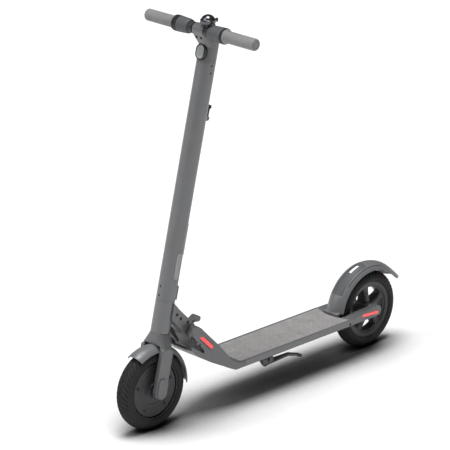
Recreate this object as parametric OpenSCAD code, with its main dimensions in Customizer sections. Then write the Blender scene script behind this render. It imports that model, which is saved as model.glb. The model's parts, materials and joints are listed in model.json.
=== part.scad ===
/* [Wheels] */
// Distance between the wheel axles
wheelbase = 845; // [800:5:880]
// Tyre outer radius
wheel_r = 114.3; // [112:0.1:116]
// Tyre cross-section radius
tyre_r = 26; // [25:0.5:27]
// Radius of the rim flange
rim_r = 84; // [82:1:85]
// Radius of both axles
axle_r = 6; // [5:0.5:6]

/* [Deck] */
// Height of the deck top above the ground
deck_top = 129; // [127:1:131]
// Half width of the deck
deck_hw = 71; // [68:1:74]
// Height of the flat belly above the ground
belly_z = 100; // [98:1:102]

/* [Steering] */
// Backward lean of the steering axis in degrees
rake = 13.67; // [12:0.1:15]
// Half width of the oval stem
stem_r = 23.5; // [22:0.5:25]
// Distance of each oval end centre from the stem axis
stem_off = 4; // [3:0.5:6]
// Half length of the handlebar over the grips
bar_half = 206; // [200:1:215]

/* [Hidden] */
$fn = 64;
HULL_FN = 32;
CLR = 0.05;
GAP = 0.5;

rear_x = -412;
front_x = rear_x + wheelbase;
hub_z = wheel_r;
tyre_mid = wheel_r - tyre_r;
well_r = 76;
front_barrel_r = 70;
rear_barrel_r = 65;
well_hw = 14;
flange_hw = 20;
hub_r = 22;
hub_hw = 22;

deck_rear = -290;
notch_x = -266;
notch_hw = 35;
arm_out = 60;
axle_end = 54;
deck_front = 140;
side_low = 113.5;
belly_hw = 45;
deck_wall = 3;
mat_t = 1.6;
cover_x0 = -200;
cover_x1 = 110;
cover_hw = 40;
fender_pin_x = -279;
fender_pin_z = 119;

pivot_x = 300;
pivot_z = 215;
pivot_r = 6;
channel_hw = 30;
channel_r = 20;
pin_end = 47;
arm_hw = 28;

head_h0 = 157.5;
head_h1 = 249;
stem_h0 = head_h1 + GAP;
stem_h1 = 900;
spigot_h = 862;
column_r = 14;
bearing_r = 20;
crown_h = head_h0 - GAP;
leg_in = 30;
leg_out = 44;
leg_r = 20;
cap_out = 50;

bar_h = 985.3;
bar_f = 39.4;
bar_r = 11;
grip_r = 16.5;
grip_in = 95;
lamp_h = 926;
lamp_lip = 2.6;
hook_h = 748;
hook_f = -36;
bell_y = 28;
bell_x = 240;
bell_z = 1097;
bell_post_r = 8;
band_r = 16;
display_h = 997;
display_f = 14;
pedal_f = -92;
pedal_h = 170;
lock_r = 4;

// A cylinder along Y from y0 to y1
module y_rod(r, y0, y1) {
    translate([0, y1, 0]) rotate([90, 0, 0]) cylinder(h = y1 - y0, r = r);
}

// An XZ outline made solid between y0 and y1
module side_plate(points, y0, y1) {
    translate([0, y1, 0]) rotate([90, 0, 0]) linear_extrude(height = y1 - y0) polygon(points);
}

// Children drawn on both sides of the middle plane
module both_sides() {
    children();
    mirror([0, 1, 0]) children();
}

// Children placed on the steering axis, h above the front axle, X forwards
module on_steer(h = 0, f = 0) {
    translate([front_x, 0, hub_z]) rotate([0, -rake, 0]) translate([f, 0, h]) children();
}

// A full ring about a wheel axle, from a section drawn as radius by width
module wheel_ring(x) {
    translate([x, 0, hub_z]) rotate([90, 0, 0]) rotate_extrude($fn = 128) children();
}

// Part of a ring about a wheel axle, from angle a0 to angle a1 counted from forwards to up
module wheel_arc(x, a0, a1) {
    translate([x, 0, hub_z]) rotate([90, 0, 0]) rotate([0, 0, a0])
        rotate_extrude(angle = a1 - a0, $fn = 128) children();
}

// The stem's oval outline, grown by g
module oval(g = 0) {
    for (s = [-1, 1]) translate([s * stem_off, 0]) circle(r = stem_r + g);
    square([2 * stem_off, 2 * (stem_r + g)], center = true);
}

// A rounded box lying on the XY plane
module slab(length, width, height, r) {
    linear_extrude(height = height) stadium(length, width, r);
}

module stadium(length, width, r) {
    square([length - 2 * r, width], center = true);
    square([length, width - 2 * r], center = true);
    for (sx = [-1, 1], sy = [-1, 1]) translate([sx * (length / 2 - r), sy * (width / 2 - r)]) circle(r = r);
}

// The deck's closed cross-section, drawn as Y by Z and shrunk by w
module deck_section(w = 0) {
    polygon([[-deck_hw + w, deck_top - w], [-deck_hw + w, side_low + w], [-belly_hw, belly_z + w],
        [belly_hw, belly_z + w], [deck_hw - w, side_low + w], [deck_hw - w, deck_top - w]]);
}

module deck_prism(x0, x1, w = 0) {
    translate([x0, 0, 0]) rotate([90, 0, 90]) linear_extrude(height = x1 - x0) deck_section(w);
}

module box(x0, x1, hw, z0, z1) {
    translate([x0, -hw, z0]) cube([x1 - x0, 2 * hw, z1 - z0]);
}

// Deck and its fittings

module deck_shell() {
    color("dimgray") difference() {
        deck_prism(deck_rear, deck_front);
        deck_prism(notch_x + 4, deck_front - 3, deck_wall);
        box(deck_rear - 1, notch_x, notch_hw, 0, 200);
        box(cover_x0 - 0.2, cover_x1 + 0.2, cover_hw + 0.2, belly_z - 1, belly_z + deck_wall + 1);
        translate([fender_pin_x, 0, fender_pin_z]) y_rod(4, -deck_hw - 1, deck_hw + 1);
    }
}

module deck_mat() {
    color("darkgray") translate([0, 0, deck_top]) linear_extrude(height = mat_t) difference() {
        translate([-68, 0]) stadium(440, 124, 8);
        translate([rear_x, 0]) circle(r = 143);
    }
}

module bottom_cover() {
    color("dimgray") difference() {
        box(cover_x0, cover_x1, cover_hw, belly_z, belly_z + deck_wall);
        for (x = [cover_x0 + 10, -45, cover_x1 - 10], y = [-32, 32])
            translate([x, y, belly_z - 1]) cylinder(h = 6, r = 2);
    }
}

module deck_screws() {
    color("black") for (x = [cover_x0 + 10, -45, cover_x1 - 10], y = [-32, 32]) translate([x, y, belly_z]) {
        translate([0, 0, -1.5]) cylinder(h = 1.5, r = 4);
        cylinder(h = deck_wall + 4, r = 2);
    }
}

module controller() {
    color("silver") translate([-45, 0, belly_z + deck_wall]) slab(130, 50, 16, 6);
}

// The neck's side outline from the deck up to the fold
neck_side = [[deck_front, deck_top], [155, deck_top], [171, 134], [185, 144], [199, 157], [233, 200],
    [290, 262], [300, 270], [311, 273], [321, 270], [328, 262], [329, 250], [324, 235], [328, 216],
    [325, 205], [293, 176], [255, 153], [218, 134], [204, 126.3], [190, 119], [176, 112.5],
    [164, 107.5], [152, 103.5], [deck_front, 101]];
// The neck's half width against its length
neck_plan = [[deck_front, deck_hw], [180, 70.5], [215, 66], [260, 58], [300, 53.5], [340, 51]];

// Recess in front of the cheek, down to the neck's chin
neck_recess = [[283, 188], [283, 197], [305, 224], [313, 235], [324, 250], [324, 280], [345, 280],
    [345, 232], [322, 217]];

// The front axle's place with the stem folded down
fold_angle = 79;
folded_x = pivot_x + (front_x - pivot_x) * cos(fold_angle) + (pivot_z - hub_z) * sin(fold_angle);
folded_z = pivot_z + (front_x - pivot_x) * sin(fold_angle) - (pivot_z - hub_z) * cos(fold_angle);

module neck() {
    color("dimgray") difference() {
        intersection() {
            side_plate(neck_side, -deck_hw, deck_hw);
            linear_extrude(height = 400) polygon(concat(neck_plan,
                [for (i = [len(neck_plan) - 1:-1:0]) [neck_plan[i][0], -neck_plan[i][1]]]));
            translate([deck_front, 0, 0]) rotate([90, 0, 90]) linear_extrude(height = 260)
                polygon([[-deck_hw, 400], [-deck_hw, side_low], [-belly_hw, belly_z], [belly_hw, belly_z],
                    [deck_hw, side_low], [deck_hw, 400]]);
        }
        side_plate([[205, 300], [207, 166], [224, 159], [240, 159], [268, 170], [pivot_x - 14, 192],
            [pivot_x + 14, 196], [345, 222], [345, 300]], -channel_hw, channel_hw);
        translate([pivot_x, 0, pivot_z]) y_rod(channel_r, -channel_hw, channel_hw);
        translate([pivot_x, 0, pivot_z]) y_rod(pivot_r, -80, 80);
        both_sides() side_plate(neck_recess, pin_end, 80);
        both_sides() reflector_seat(0);
        translate([folded_x, 0, folded_z]) sphere(r = front_fender_top + 0.6);
    }
}

module reflector_seat(g) {
    translate([282, 52, 226]) rotate([0, -47.5, 0]) rotate([90, 0, -9]) translate([0, 0, -4.5])
        slab(75 - g, 10.5 - g, 3, (10.5 - g) / 2 - 0.01);
}

module reflectors() {
    color("red") both_sides() {
        reflector_seat(0.4);
        intersection() {
            rear_reflector_seat(0);
            box(-450, -300, arm_out + 0.5, 0, 200);
        }
    }
}

module fold_pin() {
    color("silver") translate([pivot_x, 0, pivot_z]) y_rod(pivot_r, -pin_end, pin_end);
}

// One rear arm, on the left; it runs back from the deck beside the wheel
module rear_arm() {
    difference() {
        intersection() {
            union() {
                side_plate([[deck_rear, 103], [deck_rear, deck_top], [-312, 131.5], [-404, 138.5],
                    [-404, 105.5]], 36, deck_hw);
                translate([-407, 0, 122]) y_rod(16.5, 36, deck_hw);
            }
            linear_extrude(height = 200) polygon([[deck_rear, 36], [deck_rear, deck_hw], [-308, 67.5],
                [-328, 63.5], [-352, 61], [-390, arm_out], [-430, arm_out - 3], [-430, 40], [-340, 36]]);
            translate([deck_rear + 1, 0, 0]) rotate([90, 0, -90]) linear_extrude(height = 140)
                polygon([[-deck_hw, 200], [-deck_hw, side_low], [-belly_hw, belly_z], [0, belly_z], [0, 200]]);
        }
        translate([rear_x, 0, hub_z]) y_rod(axle_r, 0, axle_end);
        rear_reflector_seat(0.2);
    }
}

module rear_reflector_seat(g) {
    translate([-374, arm_out, 121.5]) rotate([0, -4, 0]) rotate([90, 0, 0]) translate([0, 0, -2])
        slab(68 + 2 * g, 9 + 2 * g, 3, 4.4 + g);
}

module rear_arm_left() {
    color("gray") rear_arm();
}

module rear_arm_right() {
    color("gray") mirror([0, 1, 0]) rear_arm();
}

module rear_axle() {
    color("silver") translate([rear_x, 0, hub_z]) {
        y_rod(axle_r, -axle_end, axle_end);
        both_sides() difference() {
            y_rod(9, hub_hw + 0.4, 36);
            y_rod(axle_r, 0, axle_end);
        }
    }
}

module fender_pin() {
    color("silver") translate([fender_pin_x, 0, fender_pin_z]) y_rod(4, -50, 50);
}

stand_x = 45;
stand_y = 52;
stand_z = 90;
// Direction of the kickstand's hinge
stand_axis = [0.056, -0.645, -0.762];

module along_stand_axis() {
    translate([stand_x, stand_y, stand_z]) rotate([0, acos(stand_axis[2] / norm(stand_axis)),
        atan2(stand_axis[1], stand_axis[0])]) children();
}

module kickstand_bracket() {
    color("dimgray") difference() {
        union() {
            translate([stand_x, stand_y, belly_z - 8]) slab(44, 26, 16, 6);
            along_stand_axis() translate([0, 0, -12]) cylinder(h = 6, r = 9);
        }
        deck_prism(deck_rear, deck_front);
        along_stand_axis() translate([0, 0, -5.7]) cylinder(h = 60, r = 60);
        along_stand_axis() translate([0, 0, -30]) cylinder(h = 60, r = 4);
    }
}

module kickstand_pin() {
    color("silver") along_stand_axis() {
        translate([0, 0, -12]) cylinder(h = 19, r = 4);
        translate([0, 0, 6.4]) cylinder(h = 2, r = 7);
    }
}

module kickstand_leg() {
    color("dimgray") difference() {
        union() {
            along_stand_axis() translate([0, 0, -5.4]) cylinder(h = 11.4, r = 9);
            hull() {
                along_stand_axis() translate([0, 0, -2]) cylinder(h = 6, r = 8, $fn = HULL_FN);
                translate([-44, 53, 91]) sphere(r = 5.5, $fn = 20);
            }
            hull() {
                translate([-44, 53, 91]) sphere(r = 5.5, $fn = 20);
                translate([-84, 54, 79]) sphere(r = 4.5, $fn = 20);
            }
            hull() {
                translate([-80, 54, 79]) sphere(r = 4.5, $fn = 20);
                translate([-88, 60, 76]) sphere(r = 4.5, $fn = 20);
            }
        }
        along_stand_axis() translate([0, 0, -30]) cylinder(h = 60, r = 4 + CLR);
    }
}

// Wheels

// Solid tyre section with a bead between the rim flanges
module tyre_section() {
    difference() {
        translate([tyre_mid, 0]) circle(r = tyre_r);
        translate([0, -50]) square([well_r, 100]);
        for (s = [-1, 1]) translate([0, s * (well_hw + 25)]) square([2 * rim_r, 50], center = true);
    }
}

module rear_tyre() {
    color("black") wheel_ring(rear_x) tyre_section();
}

module front_tyre() {
    color("black") wheel_ring(front_x) tyre_section();
}

// The rim's ring: a well between two flanges, with its inner side at the radius barrel
module rim_section(barrel) {
    translate([barrel, -well_hw]) square([well_r - barrel, 2 * well_hw]);
    for (s = [-1, 1]) translate([(well_r + rim_r) / 2 - 3, s * (well_hw + flange_hw) / 2])
        square([rim_r - well_r + 6, flange_hw - well_hw], center = true);
}

module rear_rim() {
    color("dimgray") difference() {
        union() {
            wheel_ring(rear_x) rim_section(rear_barrel_r);
            translate([rear_x, 0, hub_z]) y_rod(hub_r, -hub_hw, hub_hw);
            translate([rear_x, 0, hub_z]) for (a = [0:72:288]) rotate([0, a + 60, 0])
                translate([hub_r - 3, -11, -11]) cube([well_r - hub_r, 22, 22]);
        }
        translate([rear_x, 0, hub_z]) y_rod(10, -30, 30);
        both_sides() translate([rear_x, 0, hub_z]) y_rod(14, hub_hw - 8, 30);
    }
}

module bearing_pair(x, r_in, r_out, y0, y1) {
    both_sides() translate([x, 0, hub_z]) difference() {
        y_rod(r_out, y0, y1);
        y_rod(r_in, y0 - 1, y1 + 1);
    }
}

module rear_bearings() {
    color("silver") bearing_pair(rear_x, axle_r + CLR, 14, hub_hw - 8, hub_hw);
}

// The motor's drum, its two side walls and the screws in the left wall
module motor_shell() {
    color("dimgray") difference() {
        union() {
            wheel_ring(front_x) union() {
                rim_section(front_barrel_r);
                for (s = [-1, 1]) translate([0, s * (flange_hw - 3)])
                    translate([14, -2]) square([well_r - 16, 4]);
                for (s = [-1, 1]) translate([38, s * flange_hw - 1]) square([4, 3]);
            }
            translate([front_x, 0, hub_z]) y_rod(hub_r, -hub_hw, -15);
            translate([front_x, 0, hub_z]) y_rod(hub_r, 15, hub_hw);
            for (a = [0:72:288]) translate([front_x, 0, hub_z]) rotate([0, a, 0]) translate([62, 0, 0]) both_sides()
                y_rod(4, flange_hw - 3, flange_hw + 1);
        }
        both_sides() translate([front_x, 0, hub_z]) y_rod(14, hub_hw - 8, 30);
    }
}

module motor_magnets() {
    color("silver") wheel_ring(front_x) translate([well_r - 9, -12]) square([3, 24]);
}

module front_bearings() {
    color("silver") bearing_pair(front_x, axle_r + CLR, 14, hub_hw - 8, hub_hw);
}

module motor_stator() {
    color("peru") translate([front_x, 11, hub_z]) rotate([90, 0, 0]) linear_extrude(height = 22) difference() {
        union() {
            circle(r = 34);
            for (a = [0:20:340]) rotate(a) translate([30, -3]) square([36, 6]);
        }
        circle(r = axle_r);
    }
}

module front_axle() {
    color("silver") translate([front_x, 0, hub_z]) {
        y_rod(axle_r, -42, 42);
        both_sides() difference() {
            y_rod(9, hub_hw + 0.5, leg_in);
            y_rod(axle_r, 0, 60);
        }
    }
}

// Fenders: a curved arch swept about the wheel

function arch_r(drop, hw) = (hw * hw + drop * drop) / (2 * drop);

// An arched strip between depths t0 and t1 under the arch's top, w wide to each side
module arch_section(top_r, drop, hw, t0, t1, w) {
    intersection() {
        translate([top_r - arch_r(drop, hw), 0]) difference() {
            circle(r = arch_r(drop, hw) - t0, $fn = 128);
            circle(r = arch_r(drop, hw) - t1, $fn = 128);
        }
        translate([top_r - drop, -w]) square([drop + 10, 2 * w]);
    }
}

fender_top = 141;
front_fender_top = 126;
column_h = 128;
column_top = 290;
fender_drop = 20;
fender_hw = 33;
fender_t = 4;
fender_a0 = 9;
fender_a1 = 128;
// The tail is a flatter arc that carries on from the end of the wheel arc
tail_r = 453;
tail_sweep = 8.4;
// Outline of the tail seen from above: half width against distance from the wheel arc
tail_plan = [[34, -1], [33, 18], [30, 38], [25.5, 50], [19, 58], [11, 63.5]];
tail_tip = 65.4;

module on_tail() {
    translate([rear_x, 0, hub_z]) rotate([0, -fender_a1, 0]) children();
}

module tail_arc(a0, a1, t0, t1, w) {
    on_tail() translate([fender_top - tail_r, 0, 0]) rotate([90, 0, 0]) rotate([0, 0, a0])
        rotate_extrude(angle = a1 - a0, $fn = 256) arch_section(tail_r, fender_drop, fender_hw, t0, t1, w);
}

module fender_tail() {
    intersection() {
        tail_arc(0, tail_sweep, 0, fender_t, fender_hw);
        on_tail() translate([fender_top - 40, 0, 0]) rotate([90, 0, 90]) linear_extrude(height = 60)
            polygon(concat(tail_plan, [[0, tail_tip]],
                [for (i = [len(tail_plan) - 1:-1:0]) [-tail_plan[i][0], tail_plan[i][1]]]));
    }
}

module fender_arc(a0, a1, t0, t1, w) {
    wheel_arc(rear_x, a0, a1) arch_section(fender_top, fender_drop, fender_hw, t0, t1, w);
}

module fender_slot() {
    wheel_arc(rear_x, 63, 79) translate([fender_top - 20, -6]) square([40, 12]);
}

module rear_fender() {
    color("gray") difference() {
        union() {
            fender_arc(fender_a0, fender_a1, 0, fender_t, fender_hw);
            fender_tail();
            translate([fender_pin_x, 0, fender_pin_z]) y_rod(7, -33, 33);
            side_plate([[fender_pin_x - 5, fender_pin_z + 2], [fender_pin_x + 6, fender_pin_z],
                [-272, 137], [-284, 140]], -26, 26);
        }
        translate([fender_pin_x, 0, fender_pin_z]) y_rod(4 + CLR, -40, 40);
        fender_arc(31, 86, -5, 2, 20.3);
        fender_slot();
    }
}

module fender_panel() {
    color("dimgray") difference() {
        fender_arc(31.3, 85.7, 0.7, 1.95, 20);
        fender_slot();
    }
}

// Distance of the pad's inner face from the rear axle
pad_face = 119.7;

module brake_pad() {
    color("black") wheel_arc(rear_x, 96, 116) intersection() {
        translate([pad_face, -12]) square([20, 24]);
        translate([fender_top - arch_r(fender_drop, fender_hw), 0])
            circle(r = arch_r(fender_drop, fender_hw) - fender_t - CLR, $fn = 128);
    }
}

// Lamp under the tail
module tail_light() {
    color("red") tail_arc(0.6, 4.2, fender_t + CLR, 9, 12);
}

module front_fender() {
    color("gray") difference() {
        wheel_arc(front_x, 60, 184) arch_section(front_fender_top, 17, 29.6, 0, 3.5, 29.6);
        on_steer(100) cylinder(h = 60, r = 3);
    }
}

// Fold and steering

// Bolts in the arm's side, as forwards and up from the front axle along the steering axis
arm_bolt_points = [[-26, 212], [-43, 200.5], [-72, 190]];

module fold_arm() {
    color("dimgray") difference() {
        union() {
            on_steer() side_plate([[-9, 244], [-33, 226], [-66, 205], [-96, 186], [-112, 172], [-121, 150],
                [-116, 122], [-95, 118], [-86, 134], [-75, 151], [-41, 175], [-9, 198]], -arm_hw, arm_hw);
            translate([pivot_x, 0, pivot_z]) y_rod(18, 1 - arm_hw, arm_hw - 1);
        }
        translate([pivot_x, 0, pivot_z]) y_rod(pivot_r + CLR, -40, 40);
        on_steer(150) linear_extrude(height = 120) oval();
        on_steer(pedal_h, pedal_f) y_rod(3, -40, 40);
        on_steer() side_plate([[-140, 215], [-76, 215], [-72, 190], [-74, 168], [-92, 152],
            [-140, 152]], -9.4, 9.4);
        lock_slot(lock_r + CLR);
        for (s = [-1, 1]) on_steer() for (p = arm_bolt_points)
            translate([p[0], s * arm_hw, p[1]]) y_rod(4, -3, 3);
    }
}

// The fold pivot seen from the steering axis: forwards and up
pivot_f = (pivot_x - front_x) * cos(rake) + (pivot_z - hub_z) * sin(rake);
pivot_h = (front_x - pivot_x) * sin(rake) + (pivot_z - hub_z) * cos(rake);

// The lock bolt's straight bore beside the pivot, from a0 to a1 along the arm
module lock_slot(r, a0 = -40, a1 = 20) {
    on_steer(pivot_h, pivot_f) rotate([0, -135, 0]) translate([13, 0, a0]) cylinder(h = a1 - a0, r = r);
}

module lock_bolt() {
    color("silver") lock_slot(lock_r, -22, 6);
}

module head_tube() {
    color("gray") on_steer(head_h0) difference() {
        linear_extrude(height = head_h1 - head_h0) oval();
        translate([0, 0, -1]) cylinder(h = 200, r = column_r + 3);
        translate([0, 0, -1]) cylinder(h = 11, r = bearing_r);
        translate([0, 0, head_h1 - head_h0 - 10]) cylinder(h = 11, r = bearing_r);
    }
}

module headset_bearings() {
    color("silver") for (h = [head_h0 + 1, head_h1 - 10]) on_steer(h) difference() {
        cylinder(h = 9, r = bearing_r);
        translate([0, 0, -1]) cylinder(h = 12, r = column_r + CLR);
    }
}

module arm_bolts() {
    color("black") both_sides() on_steer() for (p = arm_bolt_points)
        translate([p[0], arm_hw, p[1]]) difference() {
            y_rod(4, -3, 0.8);
            y_rod(2, -1, 3);
        }
}

module pedal_pin() {
    color("silver") on_steer(pedal_h, pedal_f) y_rod(3, -24, 24);
}

module cable_guard() {
    color("black") difference() {
        on_steer() side_plate([[-24, 182], [-24, 160], [-34, 158], [-70, 128], [-74, 132], [-44, 166]], -6, 6);
        on_steer(150) linear_extrude(height = 100) oval(0.05);
    }
}

// The pedal that frees the fold, on its own pin at the arm's upper end
module fold_pedal() {
    color("gray") difference() {
        union() {
            on_steer(pedal_h, pedal_f) y_rod(8, -9, 9);
            hull() {
                on_steer(pedal_h, pedal_f) y_rod(6.5, -8, 8, $fn = HULL_FN);
                translate([272, 0, 270.5]) y_rod(6.5, -8, 8, $fn = HULL_FN);
            }
            hull() {
                translate([278, 0, 270]) y_rod(5, -10, 10, $fn = HULL_FN);
                translate([263, 0, 272]) y_rod(8, -13, 13, $fn = HULL_FN);
            }
        }
        on_steer(pedal_h, pedal_f) y_rod(3 + CLR, -30, 30);
    }
}

module stem_tube() {
    color("gray") difference() {
        on_steer(stem_h0) linear_extrude(height = stem_h1 - stem_h0) difference() {
            oval();
            oval(-3);
        }
        charge_seat(0.3);
        for (h = [893, 873]) on_steer(h) y_rod(2, 15, 26);
        for (h = [286, 261]) on_steer(h) rotate([0, 90, 0]) cylinder(h = 40, r = 2);
    }
}

module charge_seat(g) {
    on_steer(345, 0) translate([0, stem_r - 1, 0]) rotate([-90, 0, 0]) rotate([0, 0, 90])
        slab(72 + 2 * g, 14 + 2 * g, 3, 6.8 + g);
}

module steering_column() {
    color("silver") on_steer(column_h) difference() {
        union() {
            cylinder(h = column_top - column_h, r = column_r);
            translate([0, 0, stem_h0 + 2 - column_h]) linear_extrude(height = 24) oval(-3);
        }
        translate([0, 0, -1]) cylinder(h = 200, r = 9);
    }
}

module fork() {
    color("gray") difference() {
        union() {
            hull() {
                on_steer(crown_h - 2) linear_extrude(height = 2) oval($fn = HULL_FN);
                on_steer(crown_h - 40) linear_extrude(height = 1)
                    stadium(2 * leg_r + 1, 2 * leg_out + 1, 12, $fn = HULL_FN);
            }
            on_steer() translate([0, leg_out, 0]) rotate([90, 0, 0]) linear_extrude(height = 2 * leg_out) {
                circle(r = leg_r);
                translate([-leg_r, 0]) square([2 * leg_r, crown_h - 39.5]);
            }
        }
        translate([front_x, 0, hub_z]) y_rod(front_fender_top + 0.1, -leg_in, leg_in);
        on_steer(column_h - 2) cylinder(h = 60, r = column_r);
        translate([front_x, 0, hub_z]) y_rod(axle_r, -60, 60);
    }
}

module axle_caps() {
    color("gray") both_sides() on_steer(10) translate([0, leg_out, 0]) rotate([-90, 0, 0]) rotate([0, 0, 90])
        slab(56, 31, cap_out - leg_out, 15.4);
}

module battery_pack() {
    color("steelblue") on_steer(420) linear_extrude(height = 400) stadium(44, 26, 8);
}

// The casting on top of the stem that clamps the handlebar and holds the lamp
module stem_head() {
    color("gray") difference() {
        union() {
            on_steer(stem_h1) linear_extrude(height = 60) oval();
            on_steer(spigot_h) linear_extrude(height = stem_h1 - spigot_h + 1) oval(-3);
            hull() {
                on_steer(942) linear_extrude(height = 1) oval(-0.6, $fn = HULL_FN);
                on_steer(bar_h, bar_f) y_rod(16, -20, 20, $fn = HULL_FN);
                on_steer(990, 8) y_rod(11, -18, 18, $fn = HULL_FN);
            }
        }
        on_steer(bar_h, bar_f) y_rod(bar_r, -60, 60);
        lamp_prism(0, 16, 60);
        on_steer(spigot_h - 1) cylinder(h = 62, r = 12);
        on_steer(display_h, display_f) slab(30, 30, 20, 8);
        for (h = [893, 873]) on_steer(h) y_rod(2, 15, 26);
        for (s = [-1, 1]) on_steer(964) translate([30, s * 9, 0]) rotate([0, 90, 0]) cylinder(h = 40, r = 3);
    }
}

// The lamp's oval outline along the forward direction of the stem
module lamp_prism(g, f0, f1) {
    on_steer(lamp_h, f0) rotate([0, 90, 0]) linear_extrude(height = f1 - f0)
        stadium(44 - 2 * g, 34 - 2 * g, 16.9 - g);
}

module headlight_bezel() {
    color("black") difference() {
        lamp_prism(0, 16, 31);
        lamp_prism(lamp_lip, 15, 40);
    }
}

module headlight_lens() {
    color("lightgray") lamp_prism(lamp_lip, 16, 32);
}

module handlebar() {
    color("dimgray") on_steer(bar_h, bar_f) difference() {
        y_rod(bar_r, 4 - bar_half, bar_half - 4);
        y_rod(bar_r - 2.5, -bar_half, bar_half);
    }
}

// A grip on the left, ribbed at its inner end and closed at its outer end
module grip() {
    difference() {
        union() {
            y_rod(grip_r, grip_in + 0.3, bar_half - 3);
            y_rod(grip_r - 3, bar_half - 4, bar_half);
            translate([0, grip_in + 10, 0]) rotate([90, 0, 0]) cylinder(h = 9.7, r1 = grip_r, r2 = 20);
        }
        y_rod(bar_r, 0, bar_half - 4);
    }
}

module grip_left() {
    color("silver") on_steer(bar_h, bar_f) grip();
}

module grip_right() {
    color("silver") on_steer(bar_h, bar_f) mirror([0, 1, 0]) grip();
}

// A lever housing on the left: a chamfered collar and a ribbed ring around the bar
module lever_housing() {
    difference() {
        union() {
            y_rod(band_r, 23, 40);
            translate([0, 42, 0]) rotate([90, 0, 0]) cylinder(h = 4, r1 = 20.5, r2 = band_r + 1);
            y_rod(20.5, 42, 64);
            y_rod(22, 64, 93);
            translate([0, grip_in, 0]) rotate([90, 0, 0]) cylinder(h = 2, r1 = 20.5, r2 = 22);
        }
        y_rod(bar_r, 0, bar_half);
        translate([-60, 67, -9]) cube([48, 23, 18]);
    }
}

module brake_housing() {
    color("black") on_steer(bar_h, bar_f) lever_housing();
}

module throttle_housing() {
    color("black") on_steer(bar_h, bar_f) mirror([0, 1, 0]) lever_housing();
}

// A thumb paddle on the left, behind the housing's slot
module paddle() {
    difference() {
        union() {
            translate([-16.5, 0, 3]) y_rod(3.4, 68, 89);
            hull() {
                translate([-18, 0, 3]) y_rod(2.6, 68, 89, $fn = HULL_FN);
                translate([-40, 0, -5]) y_rod(3, 70, 88, $fn = HULL_FN);
            }
        }
        translate([-16.5, 0, 3]) y_rod(1.5, 60, 95);
    }
}

module brake_paddle() {
    color("black") on_steer(bar_h, bar_f) paddle();
}

module throttle_paddle() {
    color("black") on_steer(bar_h, bar_f) mirror([0, 1, 0]) paddle();
}

module display() {
    color("black") on_steer(display_h, display_f) difference() {
        slab(30, 30, 8, 8);
        translate([-7, 0, 4]) cylinder(h = 20, r = 5.5);
    }
}

module power_button() {
    color("dimgray") on_steer(display_h + 6, display_f - 7) cylinder(h = 3.2, r = 5.2);
}

module bell_base() {
    color("silver") difference() {
        translate([bell_x, bell_y, bell_z]) {
            translate([0, 0, -5]) cylinder(h = 15, r = bell_post_r);
            translate([0, 0, 9]) cylinder(h = 9, r1 = 20, r2 = 21);
            intersection() {
                translate([0, 0, 12]) sphere(r = 19.4);
                translate([0, 0, 17]) cylinder(h = 40, r = 30);
            }
        }
        on_steer(bar_h, bar_f) y_rod(band_r, 0, 60);
    }
}

module bell_lever() {
    color("black") translate([bell_x, bell_y, bell_z]) rotate([0, 0, 8]) difference() {
        union() {
            translate([0, 0, 4]) cylinder(h = 4, r = 11.5);
            translate([-37, -3, 4]) cube([28, 6, 4]);
            translate([-37, 0, 4]) cylinder(h = 9, r = 4);
        }
        cylinder(h = 20, r = bell_post_r + CLR);
    }
}

module stem_screws() {
    color("black") for (h = [893, 873]) on_steer(h) y_rod(2, 15, 24.3);
    color("black") for (h = [286, 261]) on_steer(h) rotate([0, 90, 0]) translate([0, 0, 26.1]) cylinder(h = 3.4, r = 2);
    color("black") for (s = [-1, 1]) on_steer(964) translate([34, s * 9, 0]) rotate([0, 90, 0])
        cylinder(h = 11, r = 3);
}

// Cover plates behind the stem
module stem_plates() {
    color("gray") difference() {
        union() {
            on_steer(374, -stem_off) linear_extrude(height = 87) intersection() {
                circle(r = stem_r + 2);
                translate([-40, -14]) square([40, 28]);
            }
            on_steer(stem_h0 + 1, -stem_off) linear_extrude(height = 38) intersection() {
                circle(r = stem_r + 4.5);
                translate([-40, -16]) square([40, 32]);
            }
        }
        on_steer(240) linear_extrude(height = 300) oval();
    }
    color("black") difference() {
        on_steer(hook_h, hook_f) union() {
            both_sides() side_plate([[12, -7], [-2, -6], [-5, -2], [-5, 3], [-2, 6], [12, 9]], 5, 8);
            y_rod(2, -8, 8);
            side_plate([[6, -7], [12, -7], [12, 9], [6, 9]], -8, 8);
        }
        on_steer(hook_h - 20) linear_extrude(height = 60) oval();
    }
}

// The hook that holds the folded stem to the fender's slot
module stem_hook() {
    color("black") on_steer(hook_h, hook_f) difference() {
        union() {
            y_rod(4.6, -4.6, 4.6);
            side_plate([[-4, 0], [3, 0], [5, 12], [5, 30], [0, 37], [-8, 36], [-10, 28], [-5, 26], [-4, 18]],
                -4.6, 4.6);
        }
        y_rod(2 + CLR, -10, 10);
        translate([-1, 0, 30]) y_rod(1.8, -10, 10);
    }
}

module charge_cover() {
    color("silver") charge_seat(0);
}

deck_shell();
deck_mat();
bottom_cover();
deck_screws();
controller();
neck();
reflectors();
fold_pin();
rear_arm_left();
rear_arm_right();
rear_axle();
fender_pin();
kickstand_bracket();
kickstand_pin();
rear_rim();
rear_tyre();
rear_bearings();
rear_fender();
fender_panel();
brake_pad();
tail_light();
kickstand_leg();
fold_arm();
head_tube();
headset_bearings();
arm_bolts();
pedal_pin();
cable_guard();
fold_pedal();
lock_bolt();
stem_tube();
steering_column();
fork();
front_fender();
axle_caps();
front_axle();
motor_stator();
battery_pack();
stem_head();
handlebar();
grip_left();
grip_right();
throttle_housing();
brake_housing();
display();
headlight_bezel();
headlight_lens();
bell_base();
stem_screws();
stem_plates();
throttle_paddle();
brake_paddle();
bell_lever();
power_button();
stem_hook();
charge_cover();
front_tyre();
motor_shell();
motor_magnets();
front_bearings();
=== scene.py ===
import json
import math

import bmesh
import bpy
from mathutils import Matrix, Vector


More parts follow.
